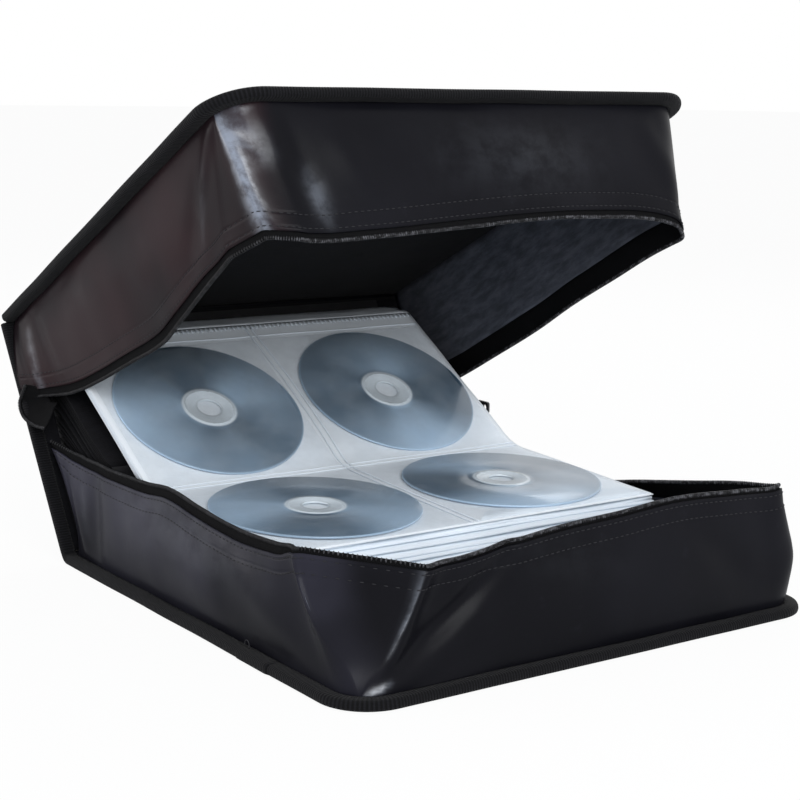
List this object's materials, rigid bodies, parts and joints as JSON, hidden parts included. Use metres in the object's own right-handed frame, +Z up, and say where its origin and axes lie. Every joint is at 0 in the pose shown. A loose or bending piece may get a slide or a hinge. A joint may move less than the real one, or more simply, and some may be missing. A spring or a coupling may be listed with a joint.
{
  "type": "cd storage case",
  "caption": "Soft zip-up disc wallet with stiff covers, gusseted side walls, a folding lid and bound film-pocket leaves that hold discs.",
  "frame": {"origin": "middle of the bottom cover's underside, on the surface that the case lies on", "axes": "+X along the spine fold, +Y from the front edge towards the spine, +Z up"},
  "size_m": [0.305, 0.4013, 0.2908],
  "materials": {
    "leather": "satin grained PU leather",
    "board": "grey bookbinder's board",
    "lining": "black non-woven fabric",
    "binding_tape": "ribbed grosgrain tape",
    "zip_tape": "woven tape",
    "zip_coil": "nylon coil",
    "zip_metal": "black painted zinc",
    "leaf_fleece": "white non-woven fleece",
    "pocket_film": "clear soft film",
    "binding_sheet": "black polypropylene sheet",
    "rivet": "tubular rivets",
    "disc": "silvery polycarbonate"
  },
  "bodies": {
    "base": {"bottom_board": "board", "bottom_cover": "leather", "bottom_lining": "lining", "bottom_binding": "binding_tape", "binding_lap": "binding_tape", "lower_gusset": "leather", "lower_gusset_lining": "lining", "lower_zip_tape": "zip_tape", "lower_zip_coil": "zip_coil", "lower_leaves": "leaf_fleece", "leaf_tails": "leaf_fleece", "web_near": "lining", "web_far": "lining", "spine_fold_strip": "leather"},
    "spine": {"spine_board": "board", "spine_cover": "leather", "spine_lining": "lining", "spine_binding": "binding_tape", "binding_sheet": "binding_sheet", "binding_rivets": "rivet", "top_leaf_tail": "leaf_fleece", "zip_loop_near": "zip_coil", "zip_loop_far": "zip_coil", "lid_fold_strip": "leather"},
    "lid": {"lid_board": "board", "lid_cover": "leather", "lid_lining": "lining", "lid_binding": "binding_tape", "upper_gusset": "leather", "upper_gusset_lining": "lining", "upper_zip_tape": "zip_tape", "upper_zip_coil": "zip_coil"},
    "leaves": {"upper_leaves": "leaf_fleece"},
    "top_leaf": {"top_leaf_core": "leaf_fleece", "pocket_films": "pocket_film", "disc_1": "disc", "disc_2": "disc", "disc_3": "disc", "disc_4": "disc"},
    "slider": {"zip_slider": "zip_metal"},
    "pull": {"zip_pull": "zip_metal"}
  },
  "joints": [
    {"name": "spine_fold", "type": "hinge", "parent": "base", "child": "spine", "pos_m": [0, 0.1615, 0], "axis": [-1, 0, 0], "range_deg": [-28.5, 11.5], "deforming": ["leaf_tails", "top_leaf_tail", "web_near", "web_far", "spine_fold_strip"]},
    {"name": "lid_fold", "type": "hinge", "parent": "spine", "child": "lid", "pos_m": [0, 0.23975, 0.14413], "axis": [-1, 0, 0], "range_deg": [0, 40], "deforming": ["lid_fold_strip"]},
    {"name": "leaf_slide", "type": "slide", "parent": "base", "child": "leaves", "axis": [0, 0.9997, 0.0247], "range_m": [-0.0402, 0.0163]},
    {"name": "leaf_turn", "type": "hinge", "parent": "leaves", "child": "top_leaf", "pos_m": [-0.006, 0.18799, 0.13526], "axis": [-1, 0, 0], "range_deg": [0, 35]},
    {"name": "slider_travel", "type": "slide", "parent": "base", "child": "slider", "axis": [0, -1, 0], "range_m": [0, 0.268]},
    {"name": "pull_swing", "type": "hinge", "parent": "slider", "child": "pull", "pos_m": [0.14773, 0.1439, 0.0747], "axis": [0, 0, 1], "range_deg": [0, 165]}
  ],
  "couplings": [
    {"joint": "leaf_slide", "follows": "spine_fold", "m_per_rad": 0.0802}
  ]
}
